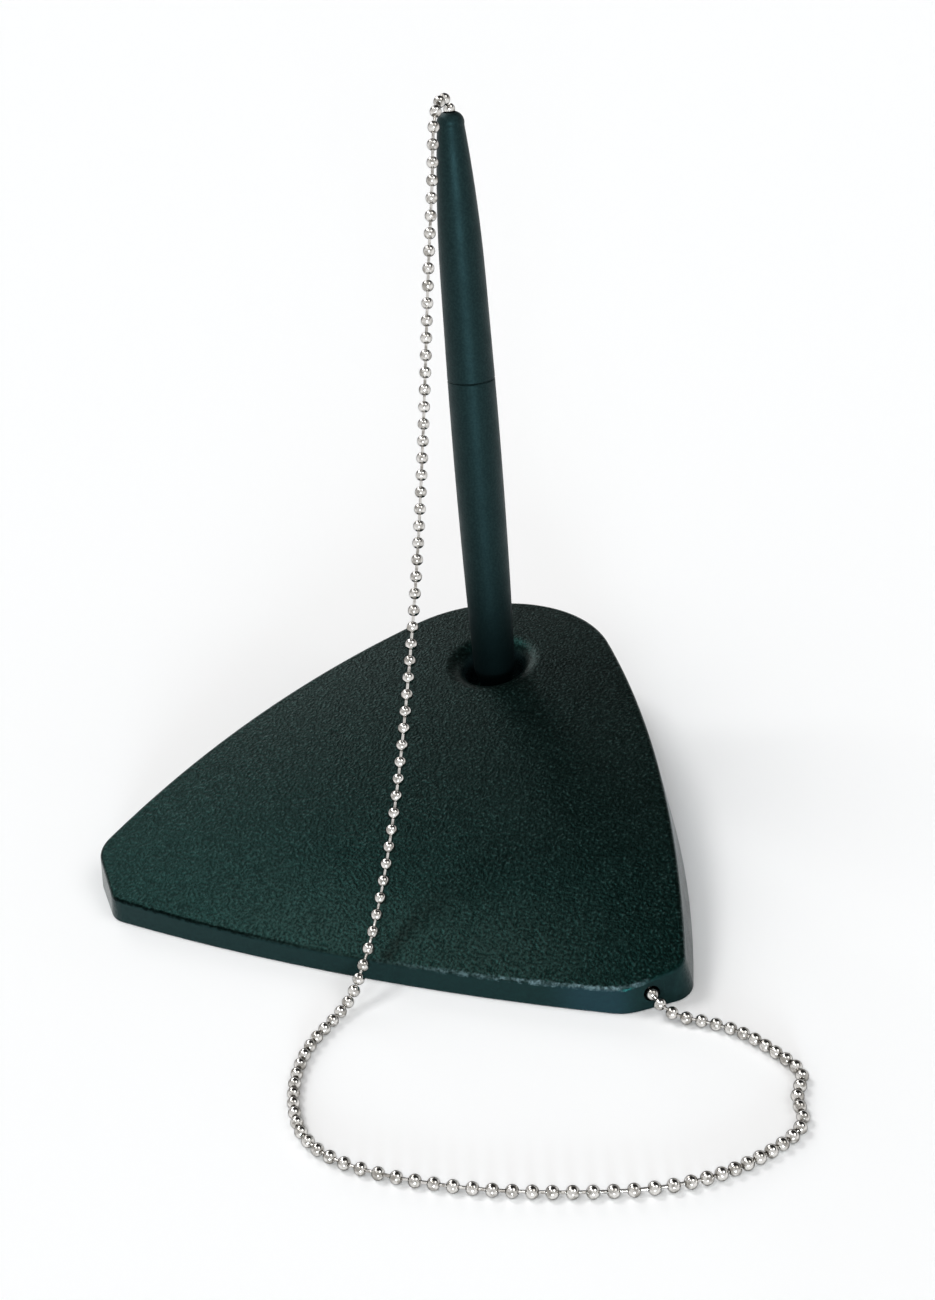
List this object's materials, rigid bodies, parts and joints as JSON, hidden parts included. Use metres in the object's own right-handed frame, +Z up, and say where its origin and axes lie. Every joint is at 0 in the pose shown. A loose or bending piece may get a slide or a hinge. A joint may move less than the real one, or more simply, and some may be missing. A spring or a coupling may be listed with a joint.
{
  "type": "pen stand",
  "caption": "Counter pen stand: wedge-shaped weighted plastic base with a leaning pen in a round socket, tied to the base's front corner by a ball chain.",
  "frame": {"origin": "on the table under the middle of the base's outline", "axes": "+Z up, -Y towards the wide front edge, +X to the right when seen from the front"},
  "size_m": [0.1622, 0.1618, 0.1465],
  "materials": {
    "base_plastic": "finely textured moulded plastic, dark green-black",
    "pen_plastic": "satin moulded plastic, dark green-black",
    "ballast_steel": "plain rolled steel",
    "screw_steel": "zinc plated",
    "pad_rubber": "matte foam rubber",
    "chain_nickel": "nickel plated",
    "refill_plastic": "plain plastic tube",
    "tip_brass": "turned",
    "ball_steel": "polished"
  },
  "bodies": {
    "base": {"base_shell": "base_plastic", "ballast_plate": "ballast_steel", "ballast_screws": "screw_steel", "base_pad": "pad_rubber", "base_chain_stop": "chain_nickel", "table_chain_beads": "chain_nickel", "table_chain_links": "chain_nickel"},
    "hanging_chain": {"hanging_chain_beads": "chain_nickel", "hanging_chain_links": "chain_nickel", "pen_chain_stop": "chain_nickel"},
    "pen": {"upper_barrel": "pen_plastic", "lower_barrel": "pen_plastic", "refill_tube": "refill_plastic", "refill_tip": "tip_brass", "tip_ball": "ball_steel"}
  },
  "joints": [
    {"name": "pen_lift", "type": "slide", "parent": "base", "child": "hanging_chain", "axis": [0, 0.1063, 0.9943], "range_m": [0, 0.03]},
    {"name": "pen_spin", "type": "hinge", "parent": "hanging_chain", "child": "pen", "pos_m": [0, 0.02885, 0.0046], "axis": [0, 0.1063, 0.9943], "continuous": true}
  ]
}
